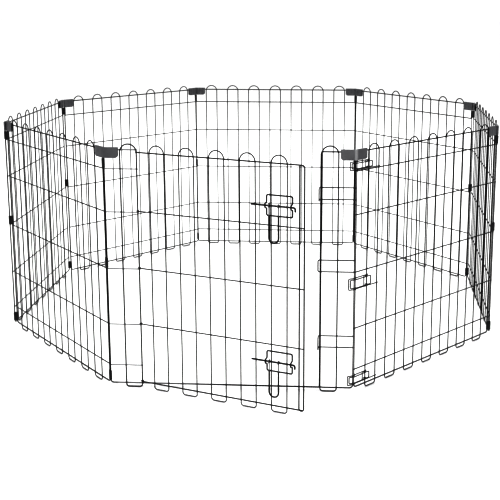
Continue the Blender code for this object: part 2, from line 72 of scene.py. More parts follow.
# heights of the bottom rail, five cross wires and top rail, from the steps between them
LEVELS = mm(*accumulate((10, 46.5, 106, 142, 142, 106, 46.5)))
Z_LOW, *CROSS_LEVELS, Z_TOP = LEVELS
SPRING = Z_TOP - 6 * MM         # where the arch of a loop begins
POST_BEAD = mm(2.0, 1.9, 1.7)

DOOR_OPEN = 22.0
HINGE_X = -END + 2 * PITCH
DOOR_Y = -4.0 * MM
DOOR_LOOP_Y = DOOR_Y + LOOP_Y
DOOR_TOP, DOOR_BOTTOM, DOOR_LIFT = Z_TOP - 5 * MM, Z_LOW + 6.5 * MM, 4 * MM
DOOR_INNER, DOOR_OUTER = mm(433, 445)    # the two uprights of the door's free edge
LATCH_Z = {"top": 498 * MM, "low": 128 * MM}
GUIDE_LEFT, GUIDE_RIGHT = mm(353, 418)
GUIDE_HALF = 24 * MM
BOLT_Y = -14.0 * MM
KEEPER_X = HINGE_X + 438.5 * MM
KEEPER_HALF = 14.5 * MM
JAMB_X = END - 2 * PITCH - 1.5 * MM
RAIL_JOIN = -END + 18 * MM      # where the left rails change from the frame wire to the wire with the painted sheen
HANDLE_LEFT = GUIDE_LEFT + 8 * MM
HANDLE_RIGHT = HANDLE_LEFT + 24 * MM
HANDLE_DROP = 86 * MM
HANDLE_EYE = 3.9 * MM

LEAF_HALF, LEAF_SLOT, LEAF_LENGTH = mm(3.1, 2.35, 36)
LEAF_LOW, LEAF_TOP, SLOT_TOP = mm(579, 605, 601.6)
# sleeves: name, bottom, top
SLEEVES = (("top", *mm(555, 577.5)), ("mid", *mm(307, 331)), ("low", *mm(16.5, 40)))
# clasps: name, middle height, half height of the base
CLASPS = (("top", *mm(566.5, 10)), ("mid", *mm(277.5, 14)), ("low", *mm(32, 11.5)))
CLASP_IN = 3.5 * MM
CLASP_BEND = -6.9 * MM

# for each panel: first heading, and side (from the panel before) on which its right post stands
HEADINGS = (0.0, 360.0 - TURN, 270.0, 180.0 + TURN, 180.0, 180.0 - TURN, 90.0, TURN)
POST_SIDES = (None, 115.0, 245.0, 115.0, 238.5, 115.0, 245.0, 115.0)
END_SIDE = 65.0

# coated radii in mm of the left and right posts, where they differ from FRAME_R
POST_RADII = {0: (2.05, 1.3), 1: (1.7, 2.05), 5: (1.15, 1.7), 6: (1.1, 1.15), 7: (1.15, 1.1)}
# cross wire and loop radii, where they differ from ROD_R
THICK = {3: 1.45 * MM, 4: 1.5 * MM, 5: 1.55 * MM, 7: 1.45 * MM}


# ------------------------------------------------------------------ plan of the pen
def direction(degrees):
    return Vector((math.cos(math.radians(degrees)), math.sin(math.radians(degrees)), 0))


def plan():
    """Headings and (left, right) posts, with panels 2 and 4 turned until the ring closes."""
    headings = list(HEADINGS)
    for _ in range(8):
        posts = [(Vector((-END, 0, 0)), Vector((END, 0, 0)))]
        for i in range(1, 8):
            right = posts[i - 1][0] + direction(headings[i - 1] + POST_SIDES[i]) * GAP
            posts.append((right - direction(headings[i]) * SPAN, right))
        miss = posts[0][1] + direction(END_SIDE) * GAP - posts[7][0]
        headings[2] -= math.degrees(miss.x / SPAN)
        headings[4] += math.degrees(miss.y / SPAN)
    return headings, posts


TURNED, POSTS = plan()


def outer_ends(index):
    """The outermost points of a panel's first and last loop wires."""
    along, out = direction(TURNED[index]), direction(TURNED[index] - 90)
    return [post + way * PITCH * along + out * (ROD_H - LOOP_Y)
            for post, way in zip(POSTS[index], (1, -1))]


def centring():
    """Moves the whole pen to the middle of its outline."""
    opened = math.radians(DOOR_OPEN)
    reach = (DOOR_OUTER + EDGE_H) * math.sin(opened)
    reach += (-DOOR_Y + EDGE_H) * math.cos(opened) - LOOP_Y
    west = min(p.x for p in outer_ends(2))
    east = max(p.x for p in outer_ends(6))
    north = max(p.y for p in outer_ends(4))
    return Matrix.Translation((-(west + east) / 2, -(north - reach) / 2, 0))


SHIFT = centring()


def at(point, heading):
    return SHIFT @ Matrix.Translation(point) @ Matrix.Rotation(math.radians(heading), 4, "Z")


def panel_matrix(index):
    left, right = POSTS[index]
    return at((left + right) / 2, TURNED[index])


HINGE = (panel_matrix(0) @ Matrix.Translation((HINGE_X, LOOP_Y, 0))
         @ Matrix.Rotation(math.radians(-DOOR_OPEN), 4, "Z"))


# ------------------------------------------------------------------ materials
class Look:
    """A material, with short ways to add nodes to it."""

    def __init__(self, name):
        self.material = bpy.data.materials.new(name)
        self.material.use_nodes = True
        self.tree = self.material.node_tree
        self.shader = self.tree.nodes["Principled BSDF"]
        self.coords = self.object_coords()

    def plug(self, target, value):
        """Links a socket, or sets a plain value."""
        if isinstance(value, bpy.types.NodeSocket):
            self.tree.links.new(value, target)
        else:
            target.default_value = value

    def node(self, kind, inputs):
        made = self.tree.nodes.new(kind)
        for key, value in inputs.items():
            self.plug(made.inputs[key], value)
        return made

    def object_coords(self):
        return self.node("ShaderNodeTexCoord", {}).outputs["Object"]

    def noise(self, scale, detail=3.0, rough=0.55, stretch=None):
        made = self.node("ShaderNodeTexNoise",
                         {"Scale": scale, "Detail": detail, "Roughness": rough})
        coords = self.coords
        if stretch:
            mapping = self.node("ShaderNodeMapping", {"Scale": stretch, "Vector": coords})
            coords = mapping.outputs["Vector"]
        self.plug(made.inputs["Vector"], coords)
        return made.outputs["Fac"]

    def ramp(self, value, *stops):
        """Two stops, each (position, colour)."""
        made = self.node("ShaderNodeValToRGB", {"Fac": value})
        for element, (position, colour) in zip(made.color_ramp.elements, stops):
            element.position = position
            element.color = (*colour, 1.0)
        return made.outputs["Color"]

    def remap(self, value, source, to):
        made = self.node("ShaderNodeMapRange", {
            "From Min": source[0], "From Max": source[1],
            "To Min": to[0], "To Max": to[1], "Value": value})
        return made.outputs["Result"]

    def mixed(self, factor, first, second):
        """From the first colour socket to the second, a plain colour."""
        made = self.tree.nodes.new("ShaderNodeMix")
        made.data_type = "RGBA"
        colours = {s.name: s for s in made.inputs if s.type == "RGBA"}
        self.plug(made.inputs["Factor"], factor)
        self.plug(colours["A"], first)
        self.plug(colours["B"], (*second, 1.0))
        return [s for s in made.outputs if s.type == "RGBA"][0]

    def surface(self, colour, roughness, specular):
        self.plug(self.shader.inputs["Base Color"], colour)
        self.plug(self.shader.inputs["Roughness"], roughness)
        self.plug(self.shader.inputs["Specular IOR Level"], specular)

    def bump(self, height, strength, distance):
        """Adds a bump on top of any earlier ones."""
        made = self.node("ShaderNodeBump",
                         {"Strength": strength, "Distance": distance, "Height": height})
        normal = self.shader.inputs["Normal"]
        if normal.is_linked:
            self.plug(made.inputs["Normal"], normal.links[0].from_socket)
        self.plug(normal, made.outputs["Normal"])


def grey(value):
    return (value, value, value)


def coated_wire(name, dark=(0.0030, 0.0030, 0.0034), light=(0.0085, 0.0085, 0.0092),
                worn=(0.035, 0.034, 0.033), rough=(0.30, 0.48)):
    """Coated steel: satin black with orange peel, thin spots and a few worn places."""
    look = Look(name)
    broad = look.noise(scale=9.0, detail=4.0)
    fine = look.noise(scale=420.0, detail=2.0)
    drawn = look.noise(scale=160.0, detail=3.0, rough=0.6, stretch=(1.0, 1.0, 0.06))
    base = look.ramp(broad, (0.32, dark), (0.72, light))
    patches = look.noise(scale=95.0, detail=6.0, rough=0.68)
    scuffs = look.ramp(patches, (0.66, grey(0)), (0.74, grey(1)))
    colour = look.mixed(scuffs, base, worn)
    roughness = look.remap(look.noise(scale=34.0, detail=4.0), source=(0.3, 0.7), to=rough)
    look.surface(colour, roughness, specular=0.22)
    look.bump(fine, strength=0.14, distance=0.12 * MM)
    look.bump(drawn, strength=0.10, distance=0.08 * MM)
    return look


def painted_sheen_wire(name, start, end):
    """Coated wire with a painted sheen: its colour pales from start to end along X, standing in
    for the highlight that the studio light puts on the left rails.
    """
    look = coated_wire(name)
    # the pale grey mixed in below is a painted highlight, fading in along X and broken up with
    # noise
    apart = look.node("ShaderNodeSeparateXYZ", {0: look.object_coords()})
    pale = look.remap(apart.outputs["X"], source=(start, end), to=(0.0, 1.0))
    patches = look.noise(scale=30.0, detail=4.0, rough=0.6)
    streaks = look.remap(patches, source=(0.3, 0.7), to=(0.75, 1.0))
    both = look.node("ShaderNodeMath", {0: pale, 1: streaks})
    both.operation = "MULTIPLY"
    base_colour = look.shader.inputs["Base Color"]
    coat = base_colour.links[0].from_socket
    look.plug(base_colour, look.mixed(both.outputs[0], coat, (0.20, 0.20, 0.205)))
    return look


def moulded_plastic(name, highlight_band=None):
    """Grained dark grey plastic, a little chalky.

    The second argument, when given, is (post, heading, length, rest) for a painted highlight:
    paler up to length along the heading from the post; rest is how much of the paleness stays
    beyond.
    """
    look = Look(name)
    base = look.ramp(look.noise(scale=22.0, detail=4.0),
                     (0.30, (0.080, 0.081, 0.086)), (0.75, (0.124, 0.125, 0.131)))
    dust = look.ramp(look.noise(scale=240.0, detail=5.0, rough=0.7),
                     (0.60, grey(0)), (0.80, grey(0.35)))
    colour = look.mixed(dust, base, (0.22, 0.22, 0.23))
    if highlight_band:
        # painted highlight: a paler band for the light caught by the leaf's rounded end
        post, heading, length, rest = highlight_band
        along = look.node("ShaderNodeVectorMath", {0: look.coords, 1: tuple(heading)})
        along.operation = "DOT_PRODUCT"
        end = post.dot(heading) + length
        pale = look.remap(along.outputs["Value"],
                          source=(end - 1 * MM, end + 1 * MM), to=(0.85, rest))
        colour = look.mixed(pale, colour, (0.31, 0.31, 0.315))
    roughness = look.remap(look.noise(scale=60.0, detail=4.0),
                           source=(0.3, 0.7), to=(0.42, 0.62))
    look.surface(colour, roughness, specular=0.5)
    grain = look.node("ShaderNodeTexVoronoi", {"Scale": 1500.0, "Vector": look.coords})
    look.bump(grain.outputs["Distance"], strength=0.22, distance=0.1 * MM)
    look.bump(look.noise(scale=300.0, detail=3.0), strength=0.12, distance=0.2 * MM)
    return look


def studio_floor():
    look = Look("studio_floor")
    colour = look.ramp(look.noise(scale=1.3, detail=3.0), (0.2, grey(0.90)), (0.8, grey(0.93)))
    look.surface(colour, roughness=0.85, specular=0.15)
    return look


WIRE = coated_wire("coated_wire_look")
# coated wire with a painted sheen, paling towards the left end of the front panel
PAINTED_SHEEN = painted_sheen_wire("painted_sheen_wire_look", start=0.0, end=-0.17)
FITTING = coated_wire("fitting_look", dark=(0.0035, 0.0035, 0.0040),
                      light=(0.0100, 0.0100, 0.0108), worn=(0.05, 0.048, 0.046),
                      rough=(0.26, 0.42))
SHEET = coated_wire("pressed_sheet_look", dark=(0.010, 0.010, 0.011),
                    light=(0.040, 0.040, 0.042), worn=(0.13, 0.128, 0.125),
                    rough=(0.28, 0.45))
# a paler grey for the handle wire: painted sheen for the highlight on the thin upper legs and eyes
# above the dipped grip
HIGHLIT_HANDLE_WIRE = coated_wire("highlit_handle_wire_look", dark=(0.07, 0.07, 0.075), light=(0.13, 0.13, 0.135),
                   worn=(0.22, 0.22, 0.22), rough=(0.22, 0.4))
PLASTIC = moulded_plastic("corner_plastic_look")
# the two leaves at the front right corner, with a painted highlight on their rounded ends
HIGHLIT_LEAF_LOOKS = {
    "corner_8_leaf_a": moulded_plastic("painted_highlight_plastic_a", highlight_band=(
        SHIFT @ POSTS[7][0], direction(TURNED[7]), -0.5 * MM, 0.03)),
    "corner_8_leaf_b": moulded_plastic("painted_highlight_plastic_b", highlight_band=(
        SHIFT @ POSTS[0][1], direction(180.0), 2.0 * MM, 0.20)),
}


# ------------------------------------------------------------------ paths
def arc(x, y, radius, start, end, steps):
    """Points on an arc about (x, y), from the start to the end angle in degrees."""
    angles = [math.radians(start + (end - start) * k / steps) for k in range(steps + 1)]
    return [(x + radius * math.cos(a), y + radius * math.sin(a)) for a in angles]


def rounded(points, radius, closed=False, steps=6):
    """Replaces each corner of a polyline with an arc.

    radius is one value, or one for each point. Open ends stay as they are.
    """
    points = [Vector(p) for p in points]
    count = len(points)
    radii = radius if isinstance(radius, tuple) else [radius] * count
    path = []
    for i, corner in enumerate(points):
        if not closed and i in (0, count - 1):
            path.append(corner)
            continue
        before, after = points[i - 1] - corner, points[(i + 1) % count] - corner
        to_before, to_after = before.normalized(), after.normalized()
        angle = to_before.angle(to_after)
        back = min(radii[i] / math.tan(angle / 2), before.length * 0.49, after.length * 0.49)
        size = back * math.tan(angle / 2)
        centre = corner + (to_before + to_after).normalized() * (size / math.sin(angle / 2))
        start = corner + to_before * back - centre
        end = corner + to_after * back - centre
        sweep = start.angle(end)
        for k in range(steps + 1):
            t = k / steps
            spoke = start * math.sin((1 - t) * sweep) + end * math.sin(t * sweep)
            path.append(centre + spoke / math.sin(sweep))
    return path


def loop_path(left, y, foot):
    """A tall loop one pitch wide: a half-round arch on top, rounded corners below."""
    right, radius, start = left + PITCH, PITCH / 2, foot + 30 * MM
    arch = [(x, y, z) for x, z in arc(left + radius, SPRING, radius, 180, 0, 28)]
    return arch + rounded([(right, y, start), (right, y, foot), (left, y, foot),
                           (left, y, start)], 7 * MM)


# ------------------------------------------------------------------ mesh tools
def unit(vector):
    return vector / np.linalg.norm(vector)


def square_to(vector, axis):
    return unit(vector - axis * vector.dot(axis))


def wire_frames(path, closed):
    """(point, tangent, normal) along a path, turning as little as possible."""
    points = [np.array(p, float) for p in path]
    count = len(points)
    ways = [unit(points[(i + 1) % count] - points[i])
            for i in range(count if closed else count - 1)]
    if closed:
        tangents = [unit(ways[i - 1] + ways[i]) for i in range(count)]
    else:
        tangents = [unit(ways[max(i - 1, 0)] + ways[min(i, count - 2)]) for i in range(count)]
    first = np.array((0.0, 0.0, 1.0) if abs(tangents[0][2]) < 0.9 else (0.0, 1.0, 0.0))
    normals = [square_to(first, tangents[0])]
    for before, tangent in zip(tangents, tangents[1:]):
        normal = normals[-1]
        axis = np.cross(before, tangent)
        size = np.linalg.norm(axis)
        if size > 1e-9:
            axis /= size
            turn = math.atan2(size, before.dot(tangent))
            normal = (normal * math.cos(turn) + np.cross(axis, normal) * math.sin(turn)
                      + axis * axis.dot(normal) * (1 - math.cos(turn)))
        normals.append(square_to(normal, tangent))
    return list(zip(points, tangents, normals))


def dome_ring(ring, way, step):
    """The step-th ring of the dome beyond an end ring; way is -1 at the start, 1 at the end."""
    point, tangent, normal, radius = ring
    angle = math.pi / 2 * step / 3
    out = tangent * (way * radius * 0.7 * math.sin(angle))
    return point + out, tangent, normal, radius * math.cos(angle)


def band(i, j, size, shift=0):
    """Quads joining ring i to ring j, each of size vertices."""
    return [(i * size + k, i * size + (k + 1) % size,
             j * size + (k + 1 + shift) % size, j * size + (k + shift) % size)
            for k in range(size)]


class Shape:
    """Gathers vertices and faces of one piece."""

    def __init__(self):
        self.verts, self.faces = [], []

    def take(self, verts, faces):
        start = len(self.verts)
        self.verts.extend(tuple(v) for v in verts)
        self.faces.extend(tuple(start + i for i in f) for f in faces)

    def tube(self, path, radius, sides=12, closed=False, dome=True):
        """A round wire along a path. radius is one value or a function of the point."""
        size_at = radius if callable(radius) else (lambda point: radius)
        rings = [(*frame, size_at(frame[0])) for frame in wire_frames(path, closed)]
        if dome and not closed:
            head = [dome_ring(rings[0], -1, step) for step in (2, 1)]
            tail = [dome_ring(rings[-1], 1, step) for step in (1, 2)]
            rings = head + rings + tail
        verts = []
        for centre, tangent, normal, size in rings:
            across = np.cross(tangent, normal)
            for k in range(sides):
                angle = 2 * math.pi * k / sides
                verts.append(centre + (normal * math.cos(angle) + across * math.sin(angle)) * size)
        faces = []
        total = len(rings)
        for i in range(total - 1):
            faces += band(i, i + 1, sides)
        if closed:
            # the twist after one trip round is taken up by shifting the last ring
            _, tangent, normal, _ = rings[0]
            last = rings[-1][2]
            twist = math.atan2(last.dot(np.cross(tangent, normal)), last.dot(normal))
            faces += band(total - 1, 0, sides, int(round(twist / (2 * math.pi) * sides)))
        else:
            faces.append(tuple(range(sides))[::-1])
            faces.append(tuple(range((total - 1) * sides, total * sides)))
        self.take(verts, faces)

    def bead(self, centre, radii):
        """A squashed ball with its poles on Y: the flash of a spot weld."""
        around, along = 8, 5
        verts, faces = [], []
        cx, cy, cz = centre
        for i in range(1, along):
            lat = math.pi * i / along
            for k in range(around):
                lon = 2 * math.pi * k / around
                verts.append((cx + radii[0] * math.sin(lat) * math.cos(lon),
                              cy + radii[1] * math.cos(lat),
                              cz + radii[2] * math.sin(lat) * math.sin(lon)))
        inner_pole, outer_pole = len(verts), len(verts) + 1
        verts += [(cx, cy + radii[1], cz), (cx, cy - radii[1], cz)]
        last = (along - 2) * around
        for k in range(around):
            n = (k + 1) % around
            faces.append((inner_pole, n, k))
            faces.append((outer_pole, last + k, last + n))
            for i in range(0, last, around):
                faces.append((i + k, i + n, i + around + n, i + around + k))
        self.take(verts, faces)

    def welds(self, xs, zs, y, radii=mm(1.75, 0.95, 1.75)):
        for x in xs:
            for z in zs:
                self.bead((x, y, z), radii)

    def build(self, name, matrix, look, body, slot, replaced=None):
        mesh = bpy.data.meshes.new(name)
        mesh.from_pydata([tuple(matrix @ Vector(v)) for v in self.verts], [], self.faces)
        finish_mesh(mesh, look)
        put(name, mesh, body, replaced)


def finish_mesh(mesh, look, sharp=42):
    """Outward normals, smooth faces, edges sharp above an angle, and the material."""
    bm = bmesh.new()
    bm.from_mesh(mesh)
    bmesh.ops.recalc_face_normals(bm, faces=bm.faces)
    bm.to_mesh(mesh)
    bm.free()
    mesh.shade_smooth()
    mesh.set_sharp_from_angle(angle=math.radians(sharp))
    mesh.materials.clear()
    mesh.materials.append(look.material)


def linked(name, data):
    obj = bpy.data.objects.new(name, data)
    bpy.context.scene.collection.objects.link(obj)
    return obj


def put(name, mesh, body, replaced=None):
    obj = linked(name, mesh)
    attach(obj, body)
    if replaced:
        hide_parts(replaced)


# ------------------------------------------------------------------ plain panels
def frame_radius(index):
    """The frame wire's radius at a point: the posts differ, the rails and corners don't."""
    left, right = mm(*POST_RADII[index]) if index in POST_RADII else (FRAME_R, FRAME_R)

    def radius(point):
        x, _, z = point
        if not Z_LOW + 7.9 * MM < z < Z_TOP - 4.4 * MM or abs(abs(x) - END) > 1 * MM:
            return FRAME_R
        return left if x < 0 else right
    return radius


def panel_loops(shape, numbers, radius):
    for k in numbers:
        path = loop_path(-END + PITCH * (2 * k + 1), LOOP_Y, ROD_R + 0.2 * MM)
        shape.tube(path, radius, sides=10, closed=True)


def panel(index):
    shape = Shape()
    wire = THICK.get(index, ROD_R)
    corners = [(-END, 0, Z_LOW), (-END, 0, Z_TOP), (END, 0, Z_TOP), (END, 0, Z_LOW)]
    shape.tube(rounded(corners, mm(8, 4.5, 4.5, 8), closed=True), frame_radius(index),
               closed=True)
    for z in CROSS_LEVELS:
        shape.tube([(-END, 0, z), (END, 0, z)], wire, sides=10)
    panel_loops(shape, range(LOOPS), wire)
    xs = [-END + PITCH * (k + 1) for k in range(2 * LOOPS)]
    shape.welds(xs, CROSS_LEVELS, -1.15 * MM)
    shape.welds(xs, (Z_LOW, Z_TOP), -1.5 * MM)
    shape.welds((-END, END), CROSS_LEVELS, 0.0, POST_BEAD)
    return shape


def clasp_bases(shape):
    """Bent wires welded to the left end of the last panel, reaching past its post."""
    post, front = -END, -3.4 * MM
    bend_x, start_x = post - 6 * MM, post - 1 * MM
    tip_x, tip_y = post - 24.5 * MM, 0.6 * MM
    brace = post + 30 * MM
    for _, z, half in CLASPS:
        high, low = z + half, z - half
        path = [(post + PITCH + 4 * MM, front, high), (start_x, front, high),
                (bend_x, CLASP_BEND, high), (tip_x, tip_y, high),
                (tip_x, tip_y, low), (bend_x, CLASP_BEND, low),
                (start_x, front, low), (post + 2 * PITCH + 3 * MM, front, low)]
        shape.tube(rounded(path, mm(0, 5, 4, 2.6, 2.6, 4, 5, 0)), 1.3 * MM)
        shape.tube([(brace, -2.6 * MM, low), (brace, -2.6 * MM, high)], 1.25 * MM, sides=10)
        for level in (low, high):
            shape.bead((post, -2.2 * MM, level), mm(2.2, 1.6, 1.9))
            shape.bead((brace, -3.0 * MM, level), mm(1.9, 1.2, 1.7))
            shape.bead((post + PITCH, -3.0 * MM, level), mm(1.8, 1.2, 1.8))
        shape.bead((post + 2 * PITCH, -3.0 * MM, low), mm(1.8, 1.2, 1.8))


for i in range(1, 8):
    wires = panel(i)
    if i == 7:
        clasp_bases(wires)
    wires.build("wire_panel_%d" % i, panel_matrix(i), WIRE, "wing_%d" % i, "coated_wire",
                replaced="panel_%d" % i)


# ------------------------------------------------------------------ front panel
def gate():
    """The two ends of the front panel, with the wire keepers of the latches on the right."""
    shape = Shape()
    left_end = [(RAIL_JOIN, 0, Z_TOP), (-END, 0, Z_TOP), (-END, 0, Z_LOW), (RAIL_JOIN, 0, Z_LOW)]
    shape.tube(rounded(left_end, mm(0, 4.5, 8, 0)), frame_radius(0), dome=False)
    right_end = [(JAMB_X - 6 * MM, 0, Z_LOW), (END, 0, Z_LOW), (END, 0, Z_TOP),
                 (JAMB_X, 0, Z_TOP), (JAMB_X, 0, Z_LOW + 2.2 * MM)]
    shape.tube(rounded(right_end, mm(0, 8, 4.5, 6, 0)), frame_radius(0), dome=False)
    panel_loops(shape, (0, LOOPS - 1), 1.62 * MM)
    left = (-END + PITCH, -END + 2 * PITCH)
    right = (END - 2 * PITCH, END - PITCH)
    shape.welds(left, CROSS_LEVELS, -1.15 * MM)
    shape.welds(left + right, (Z_LOW, Z_TOP), -1.5 * MM)
    shape.welds((-END,), CROSS_LEVELS, 0.0, POST_BEAD)

    keeper_r, back, out = 1.4 * MM, 3.1 * MM, -21.0 * MM
    for z in LATCH_Z.values():
        high, low = z + KEEPER_HALF, z - KEEPER_HALF
        path = [(END, back, high), (KEEPER_X, back, high), (KEEPER_X, out, high),
                (KEEPER_X, out, low), (KEEPER_X, back, low), (END, back, low)]
        shape.tube(rounded(path, mm(0, 3.5, 3, 3, 3.5, 0)), keeper_r)
    # a flat U between the keepers
    low, high = mm(305, 334)
    tip = KEEPER_X - 2 * MM
    path = [(END, back, high), (tip, back, high), (tip, back, low), (END, back, low)]
    shape.tube(rounded(path, 3.5 * MM), keeper_r)
    keeper_levels = [z + way * KEEPER_HALF for z in LATCH_Z.values() for way in (-1, 1)]
    for z in (*keeper_levels, low, high):
        for x in (END, JAMB_X):
            shape.bead((x, 1.6 * MM, z), mm(2.1, 1.2, 1.8))
        shape.bead((END - PITCH, 0.2 * MM, z), mm(1.7, 1.6, 1.7))
    return shape


def gate_rails():
    """The left strip's rail and cross wires, the threshold and the rod behind it."""
    shape = Shape()
    shape.tube([(HINGE_X + 1.2 * MM, 0, Z_TOP), (RAIL_JOIN, 0, Z_TOP)], FRAME_R, dome=False)
    shape.tube([(RAIL_JOIN, 0, Z_LOW), (END - 2 * PITCH - 7.5 * MM, 0, Z_LOW)],
               FRAME_R + 0.15 * MM, dome=False)
    for z in CROSS_LEVELS:
        shape.tube([(-END, 0, z), (HINGE_X + 1.5 * MM, 0, z)], ROD_R, sides=10)
    rod_y, rod_z, spare = 3.0 * MM, Z_LOW - 0.8 * MM, 4 * MM
    shape.tube([(-END + PITCH - spare, rod_y, rod_z), (END - 2 * PITCH + spare, rod_y, rod_z)],
               EDGE_R + 0.25 * MM)
    return shape


gate().build("wire_gate_frame", panel_matrix(0), WIRE, "gate", "coated_wire",
             replaced="gate_frame")
# the left rails, cross wires and threshold carry the painted sheen
gate_rails().build("wire_gate_rails", panel_matrix(0), PAINTED_SHEEN, "gate", "coated_wire")


# ------------------------------------------------------------------ door
def hooked(shape, z, wire, rest):
    """A rail whose end is drawn thinner and bent round the hinge wire."""
    reach, thin = 2.9 * MM, wire * 0.72
    angles = [math.radians(a) for a in range(-235, -24, 12)]
    path = [(reach * math.sin(a), -reach * math.cos(a), z) for a in angles]
    shape.tube(path + [(2.5 * MM, DOOR_Y, z), (6 * MM, DOOR_Y, z)], thin, sides=10)
    shape.tube([(2.8 * MM, DOOR_Y, z)] + rest, wire)


def bolt_guides(shape):
    """Closed wires bowed outwards over each bolt at two places."""
    lie = DOOR_LOOP_Y - (ROD_R + EDGE_R - WELD)
    bow = BOLT_Y - BOLT_R - 0.5 * MM - EDGE_R
    # y and height above the latch of one side, from top to bottom
    profile = [(lie, GUIDE_HALF), (lie, 7.5 * MM), (bow, 4.0 * MM),
               (bow, -4.0 * MM), (lie, -7.5 * MM), (lie, -GUIDE_HALF)]
    for z in LATCH_Z.values():
        path = [(x, y, z + way * rise)
                for x, way in ((GUIDE_RIGHT, 1), (GUIDE_LEFT, -1)) for y, rise in profile]
        shape.tube(rounded(path, mm(3.5, 2, 2, 2, 2, 3.5) * 2, closed=True),
                   EDGE_R + 0.15 * MM, closed=True)
        shape.welds((PITCH * 9, PITCH * 10), (z - GUIDE_HALF, z + GUIDE_HALF),
                    DOOR_LOOP_Y - 1.1 * MM, mm(1.8, 1.2, 1.8))


def door():
    shape = Shape()
    turn = (DOOR_OUTER - DOOR_INNER) / 2 * 0.98
    foot = DOOR_BOTTOM - 1.6 * MM
    # the top rail runs on down the free edge, under it and up again
    run = rounded([(40 * MM, DOOR_Y, DOOR_TOP), (DOOR_OUTER, DOOR_Y, DOOR_TOP),
                   (DOOR_OUTER, DOOR_Y, foot), (DOOR_INNER, DOOR_Y, foot),
                   (DOOR_INNER, DOOR_Y, DOOR_TOP - 1.4 * MM)],
                  (0, 7 * MM, turn, turn, 0), steps=8)
    hooked(shape, DOOR_TOP, EDGE_R, run)
    hooked(shape, DOOR_BOTTOM, EDGE_R, [(DOOR_OUTER - 2 * MM, DOOR_Y, DOOR_BOTTOM)])
    levels = [z + DOOR_LIFT for z in LEVELS[2:5]]
    for z in levels:
        hooked(shape, z, ROD_R, [(DOOR_OUTER, DOOR_Y, z)])
    for k in range(1, 6):
        path = loop_path(PITCH * (2 * k - 1), DOOR_LOOP_Y, ROD_R + 1.8 * MM)
        shape.tube(path, ROD_R, sides=10, closed=True)
    xs = [PITCH * k for k in range(1, 11)]
    shape.welds(xs, levels, DOOR_Y - 1.15 * MM)
    shape.welds(xs, (DOOR_BOTTOM, DOOR_TOP), DOOR_Y - 1.3 * MM)
    shape.welds((DOOR_INNER, DOOR_OUTER), levels, DOOR_Y, mm(1.9, 1.75, 1.7))
    bolt_guides(shape)
    return shape


door().build("wire_door", HINGE, WIRE, "door", "coated_wire", replaced="door")


# ------------------------------------------------------------------ bolts and handles
def bolt(z):
    """A round rod with its right end bent down."""
    shape = Shape()
    path = [(GUIDE_LEFT - 37 * MM, BOLT_Y, z), (GUIDE_RIGHT + 8.6 * MM, BOLT_Y, z),
            (GUIDE_RIGHT + 8.9 * MM, BOLT_Y, z - 9 * MM)]
    shape.tube(rounded(path, 5 * MM, steps=9), BOLT_R, sides=16)
    return shape


def handle_path(z, top):
    """A U hanging below the bolt at z, its legs starting at top."""
    low = z - HANDLE_DROP
    return rounded([(HANDLE_LEFT, BOLT_Y, top), (HANDLE_LEFT, BOLT_Y, low),
                    (HANDLE_RIGHT, BOLT_Y, low), (HANDLE_RIGHT, BOLT_Y, top)],
                   11.6 * MM, steps=14)


def handle(z):
    """The wire U with an eye round the bolt on each leg."""
    shape = Shape()
    shape.tube(handle_path(z, z - HANDLE_EYE), 1.25 * MM, sides=14)
    for x in (HANDLE_LEFT, HANDLE_RIGHT):
        ring = [(x, y, level) for y, level in arc(BOLT_Y, z, HANDLE_EYE, 0, 360, 28)[:-1]]
        shape.tube(ring, 1.2 * MM, closed=True)
    return shape


def dipped_grip(z):
    """The dipped vinyl over the lower part of the handle."""
    shape = Shape()
    shape.tube(handle_path(z, z - 24 * MM), 2.0 * MM, sides=16)
    return shape


for name, z in LATCH_Z.items():
    bolt(z).build("round_bolt_" + name, HINGE, FITTING, "bolt_" + name, "fittings",
                  replaced="latch_bolt_" + name)
    # the handle wire carries the painted sheen
    handle(z).build("round_handle_" + name, HINGE, HIGHLIT_HANDLE_WIRE, "handle_" + name, "fittings",
                    replaced="latch_handle_" + name)
    dipped_grip(z).build("dipped_grip_" + name, HINGE, FITTING, "handle_" + name, "fittings")


# ------------------------------------------------------------------ end clasps
def clasp(z, high):
    """A closed bent wire, high above and below z, with two rings round a loop wire."""
    shape = Shape()
    post = -END
    tip_y, front = -1.3 * MM, LOOP_Y - 3.2 * MM
    left, bend, right = post - 20 * MM, post - 5.5 * MM, post + PITCH + 12 * MM
    path = [(left, tip_y, z - high), (left, tip_y, z + high),
            (bend, CLASP_BEND, z + high), (right, front, z + high),
            (right, front, z - high), (bend, CLASP_BEND, z - high)]
    shape.tube(rounded(path, mm(2.4, 2.4, 6, 3.2, 3.2, 6), closed=True), 1.35 * MM,
               closed=True)
    for level in (z - high, z + high):
        ring = [(x, y, level) for x, y in arc(post + PITCH, LOOP_Y, 3.1 * MM, 0, 360, 24)[:-1]]
        shape.tube(ring, 1.2 * MM, sides=10, closed=True)
    return shape


for name, z, half in CLASPS:
    clasp(z, half - CLASP_IN).build("round_clasp_" + name, panel_matrix(7), FITTING,
                                    "clasp_" + name, "fittings", replaced="end_clasp_" + name)


# ------------------------------------------------------------------ sleeves round the post pairs
def sleeve_ring(radius):
    """Outline round two posts at x = 0 and x = GAP, pinched between them."""
    between = [k / 8 for k in range(1, 8)]

    def waist(t):
        return radius - 0.75 * MM * math.sin(math.pi * t) ** 1.5

    return (arc(0, 0, radius, 90, 270, 12) + [(GAP * t, -waist(t)) for t in between]
            + arc(GAP, 0, radius, -90, 90, 12) + [(GAP * t, waist(t)) for t in between[::-1]])


